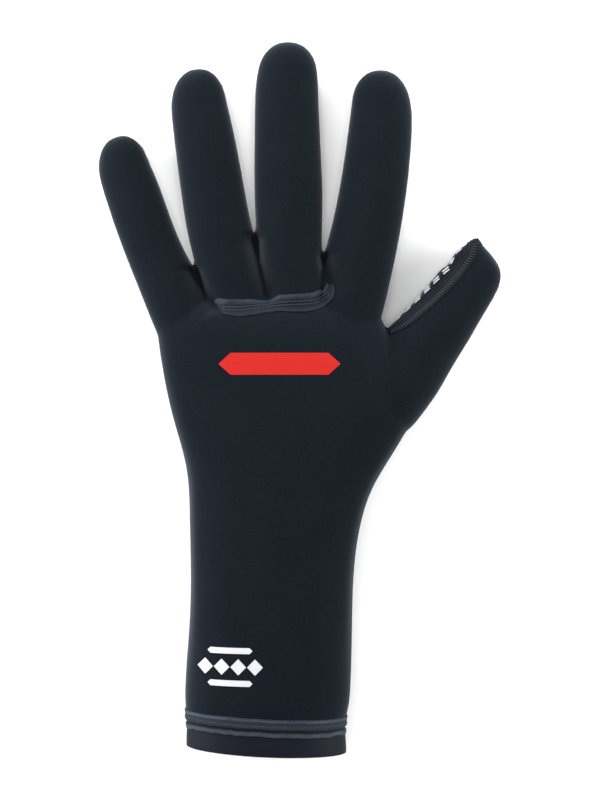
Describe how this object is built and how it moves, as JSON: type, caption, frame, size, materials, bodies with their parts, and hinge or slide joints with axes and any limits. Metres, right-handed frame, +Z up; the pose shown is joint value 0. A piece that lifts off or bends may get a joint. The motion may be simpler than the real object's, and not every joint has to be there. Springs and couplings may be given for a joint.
{
  "type": "swim glove",
  "caption": "Left-hand swim glove in soft neoprene with a long open cuff, taped seams at knuckles, thumb and cuff, and small plain printed marks on the back.",
  "frame": {"origin": "on the surface the glove lies on, under the middle of its outline", "axes": "+X towards the thumb, +Y from the cuff to the fingertips, +Z up, out of the back of the hand"},
  "size_m": [0.1688, 0.2964, 0.0436],
  "materials": {
    "neoprene": "matt jersey-faced neoprene, blue-black",
    "tape": "satin glued seam tape, dark grey",
    "hem_rubber": "smooth satin skin neoprene, near black",
    "red_print": "satin heat-pressed print, red",
    "white_print": "satin heat-pressed print, white"
  },
  "bodies": {
    "root": {"back_panel": "neoprene", "finger_panel": "neoprene", "palm_panel": "neoprene", "cuff_band": "hem_rubber", "knuckle_tape": "tape", "thumb_tape": "tape", "cuff_tape": "tape", "back_mark": "red_print", "cuff_mark_upper_bar": "white_print", "cuff_mark_lower_bar": "white_print", "cuff_mark_diamond_1": "white_print", "cuff_mark_diamond_2": "white_print", "cuff_mark_diamond_3": "white_print", "cuff_mark_diamond_4": "white_print"}
  },
  "joints": []
}
